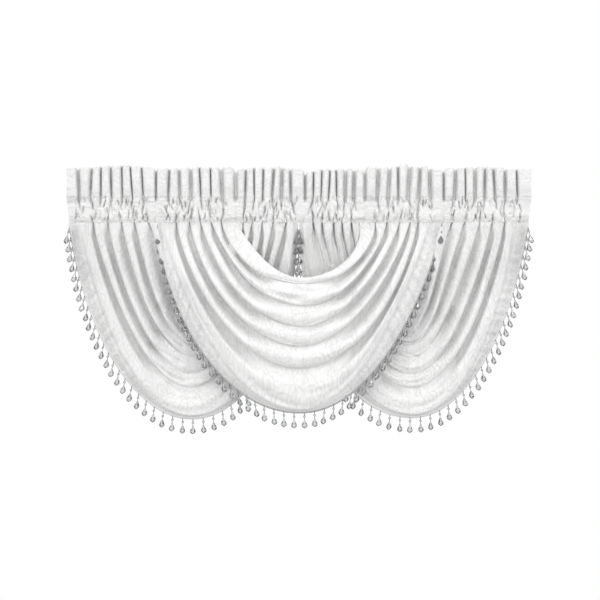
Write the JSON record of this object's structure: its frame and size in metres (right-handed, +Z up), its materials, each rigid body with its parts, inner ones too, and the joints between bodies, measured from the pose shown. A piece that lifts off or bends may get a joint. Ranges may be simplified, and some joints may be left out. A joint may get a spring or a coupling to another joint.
{
  "type": "set of three swag valances with bead trim",
  "caption": "White jacquard swag valances overlapping on one rod, each with ruffled rod-pocket headings, U-shaped draped folds and a clear bead-drop trim along the hem.",
  "frame": {"origin": "on the rod's axis, in the rod pocket at the middle of the set", "axes": "+X along the rod to the viewer's right, the front faces -Y, +Z up"},
  "size_m": [1.5, 0.1072, 0.8644],
  "materials": {
    "jacquard": "white tone-on-tone jacquard, soft satin sheen",
    "bead_trim": "clear faceted beads on thread and a narrow white tape"
  },
  "bodies": {
    "root": {"heading_left_outer": "jacquard", "heading_centre_left": "jacquard", "heading_left_inner": "jacquard", "heading_right_inner": "jacquard", "heading_centre_right": "jacquard", "heading_right_outer": "jacquard", "swag_left": "jacquard", "swag_centre": "jacquard", "swag_right": "jacquard", "bead_trim_left_a": "bead_trim", "bead_trim_left_b": "bead_trim", "bead_trim_left_c": "bead_trim", "bead_trim_centre_a": "bead_trim", "bead_trim_centre_b": "bead_trim", "bead_trim_centre_c": "bead_trim", "bead_trim_right_a": "bead_trim", "bead_trim_right_b": "bead_trim", "bead_trim_right_c": "bead_trim"}
  },
  "joints": []
}
